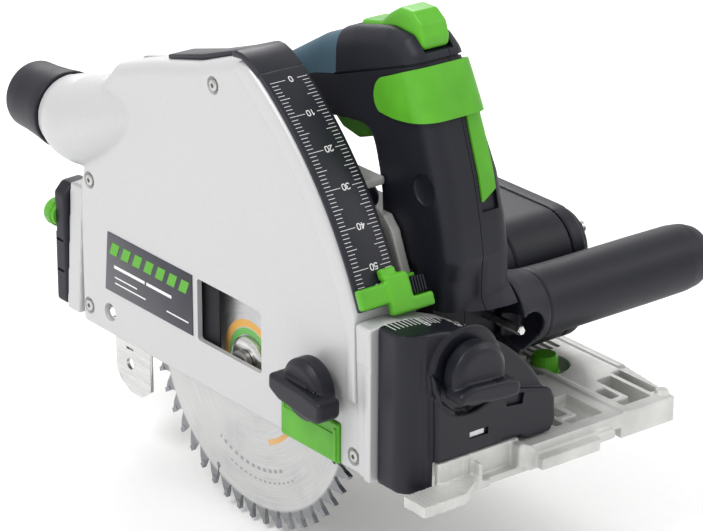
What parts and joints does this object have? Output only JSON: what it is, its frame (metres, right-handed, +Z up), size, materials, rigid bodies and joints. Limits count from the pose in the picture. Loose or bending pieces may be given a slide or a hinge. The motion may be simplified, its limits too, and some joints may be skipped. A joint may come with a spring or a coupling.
{
  "type": "track plunge saw",
  "caption": "Circular plunge saw for a guide rail: guard with depth scale, tilting on two bevel brackets, and a motor unit that plunges.",
  "frame": {"origin": "on the flat of the sole, under the base plate, midway along the arbor when plunged", "axes": "+Z up from the sole, -Y to the front in the cutting direction, +X from the guard towards the motor"},
  "size_m": [0.2155, 0.3242, 0.259],
  "materials": {
    "cover_silver": "satin powder coat",
    "cast_metal": "fine cast, lightly blasted",
    "navy_plastic": "fine moulded texture",
    "green_plastic": "satin moulded",
    "teal_grip": "soft moulded grip",
    "scale_black": "matt with printed marks",
    "dark_steel": "turned",
    "bright_steel": "ground",
    "copper": "enamelled wire and copper bars",
    "carbon": "moulded carrier",
    "circuit_board": "solder resist"
  },
  "bodies": {
    "base": {"base_plate": "cast_metal", "front_bevel_bracket": "navy_plastic", "rear_bevel_bracket": "navy_plastic"},
    "rail_cam_front": {"rail_cam_front": "green_plastic"},
    "rail_cam_rear": {"rail_cam_rear": "green_plastic"},
    "front_bevel_knob": {"front_bevel_knob": "navy_plastic"},
    "rear_bevel_knob": {"rear_bevel_knob": "navy_plastic"},
    "undercut_release": {"undercut_release": "green_plastic"},
    "guard": {"guard_cover": "cover_silver", "guard_frame": "cast_metal", "front_tilt_segment": "cast_metal", "rear_tilt_segment": "cast_metal", "rear_cover": "navy_plastic", "depth_scale_band": "scale_black", "rating_label": "scale_black", "cover_screw_1": "dark_steel", "cover_screw_2": "dark_steel", "cover_screw_3": "dark_steel", "cover_screw_4": "dark_steel", "plunge_pin": "dark_steel", "plunge_return_spring": "dark_steel"},
    "splinter_guard": {"splinter_guard": "green_plastic"},
    "splinter_guard_knob": {"splinter_guard_knob": "navy_plastic"},
    "depth_stop": {"depth_stop": "green_plastic"},
    "depth_stop_button": {"depth_stop_button": "navy_plastic"},
    "riving_knife": {"riving_knife": "dark_steel"},
    "dust_nozzle": {"dust_nozzle": "navy_plastic"},
    "motor_unit": {"gear_case": "cast_metal", "bearing_shield": "cast_metal", "motor_housing": "navy_plastic", "motor_end_cap": "navy_plastic", "handle_left": "navy_plastic", "handle_right": "navy_plastic", "grip_band": "teal_grip", "front_handle": "navy_plastic", "switch_block": "navy_plastic", "speed_board": "circuit_board", "power_inlet": "navy_plastic", "stator": "dark_steel", "brush_carrier": "carbon", "spindle_bearing": "bright_steel", "motor_bearing_front": "bright_steel", "motor_bearing_rear": "bright_steel"},
    "plunge_release": {"plunge_release": "green_plastic"},
    "trigger": {"trigger": "green_plastic"},
    "blade_change_lever": {"blade_change_lever": "green_plastic"},
    "speed_dial": {"speed_dial": "navy_plastic"},
    "hex_key": {"hex_key": "bright_steel"},
    "arbor": {"saw_blade": "bright_steel", "inner_flange": "dark_steel", "outer_flange": "dark_steel", "arbor_bolt": "dark_steel", "spindle": "dark_steel", "spindle_gear": "dark_steel"},
    "layshaft": {"layshaft": "dark_steel"},
    "armature": {"armature_shaft": "dark_steel", "armature_core": "copper", "commutator": "copper", "cooling_fan": "navy_plastic"}
  },
  "joints": [
    {"name": "bevel_tilt", "type": "hinge", "parent": "base", "child": "guard", "pos_m": [-0.0793, 0, 0.002], "axis": [0, -1, 0], "range_deg": [-1, 47]},
    {"name": "plunge", "type": "hinge", "parent": "guard", "child": "motor_unit", "pos_m": [-0.03, 0.115, 0.045], "axis": [-1, 0, 0], "range_deg": [0, 30]},
    {"name": "blade_spin", "type": "hinge", "parent": "motor_unit", "child": "arbor", "pos_m": [-0.0793, 0, 0.02], "axis": [1, 0, 0], "continuous": true},
    {"name": "layshaft_spin", "type": "hinge", "parent": "motor_unit", "child": "layshaft", "pos_m": [-0.05, -0.0165, 0.0345], "axis": [1, 0, 0], "continuous": true},
    {"name": "armature_spin", "type": "hinge", "parent": "motor_unit", "child": "armature", "pos_m": [0, -0.033, 0.049], "axis": [1, 0, 0], "continuous": true},
    {"name": "riving_knife_lift", "type": "slide", "parent": "guard", "child": "riving_knife", "axis": [0, 0, 1], "range_m": [0, 0.034]},
    {"name": "front_knob_turn", "type": "hinge", "parent": "base", "child": "front_bevel_knob", "pos_m": [-0.058, -0.13, 0.056], "axis": [0, -1, 0], "range_deg": [-180, 0]},
    {"name": "rear_knob_turn", "type": "hinge", "parent": "base", "child": "rear_bevel_knob", "pos_m": [-0.044, 0.165, 0.04], "axis": [0, 1, 0], "range_deg": [-180, 0]},
    {"name": "front_rail_cam_turn", "type": "hinge", "parent": "base", "child": "rail_cam_front", "pos_m": [0.0365, -0.071, 0.01], "axis": [0, 0, 1], "range_deg": [-90, 90]},
    {"name": "rear_rail_cam_turn", "type": "hinge", "parent": "base", "child": "rail_cam_rear", "pos_m": [0.0365, 0.104, 0.01], "axis": [0, 0, 1], "range_deg": [-90, 90]},
    {"name": "splinter_knob_turn", "type": "hinge", "parent": "guard", "child": "splinter_guard_knob", "pos_m": [-0.098, -0.0685, 0.0365], "axis": [-1, 0, 0], "range_deg": [-90, 90]},
    {"name": "splinter_guard_lift", "type": "slide", "parent": "guard", "child": "splinter_guard", "axis": [0, 0, -1], "range_m": [0, 0.003]},
    {"name": "depth_stop_set", "type": "hinge", "parent": "guard", "child": "depth_stop", "pos_m": [-0.08, 0.088, 0.004], "axis": [-1, 0, 0], "range_deg": [0, 28.4]},
    {"name": "undercut_press", "type": "slide", "parent": "guard", "child": "undercut_release", "axis": [0, -1, 0], "range_m": [0, 0.0002], "stiffness_N_per_m": 1500},
    {"name": "depth_stop_press", "type": "slide", "parent": "depth_stop", "child": "depth_stop_button", "axis": [0, 0.9152, -0.4031], "range_m": [0, 0.0012], "stiffness_N_per_m": 900},
    {"name": "dust_nozzle_swivel", "type": "hinge", "parent": "guard", "child": "dust_nozzle", "pos_m": [-0.08, 0.15, 0.1008], "axis": [0, 1, 0], "range_deg": [-180, 180]},
    {"name": "release_push", "type": "slide", "parent": "motor_unit", "child": "plunge_release", "axis": [0, -1, 0], "range_m": [0, 0.002], "stiffness_N_per_m": 1500},
    {"name": "trigger_pull", "type": "hinge", "parent": "motor_unit", "child": "trigger", "pos_m": [-0.033, -0.005, 0.146], "axis": [-1, 0, 0], "range_deg": [0, 7], "stiffness_Nm_per_rad": 0.3},
    {"name": "lever_swing", "type": "hinge", "parent": "motor_unit", "child": "blade_change_lever", "pos_m": [-0.033, -0.084, 0.17], "axis": [-1, 0, 0], "range_deg": [0, 30]},
    {"name": "speed_dial_turn", "type": "hinge", "parent": "motor_unit", "child": "speed_dial", "pos_m": [-0.017, 0.03, 0.087], "axis": [1, 0, 0], "range_deg": [-135, 135]},
    {"name": "hex_key_draw", "type": "slide", "parent": "motor_unit", "child": "hex_key", "axis": [0, -1, 0], "range_m": [0, 0.04]}
  ],
  "couplings": [
    {"joint": "layshaft_spin", "follows": "blade_spin", "ratio": -2.3333},
    {"joint": "armature_spin", "follows": "blade_spin", "ratio": 7},
    {"joint": "riving_knife_lift", "follows": "plunge", "m_per_rad": 0.0649}
  ]
}
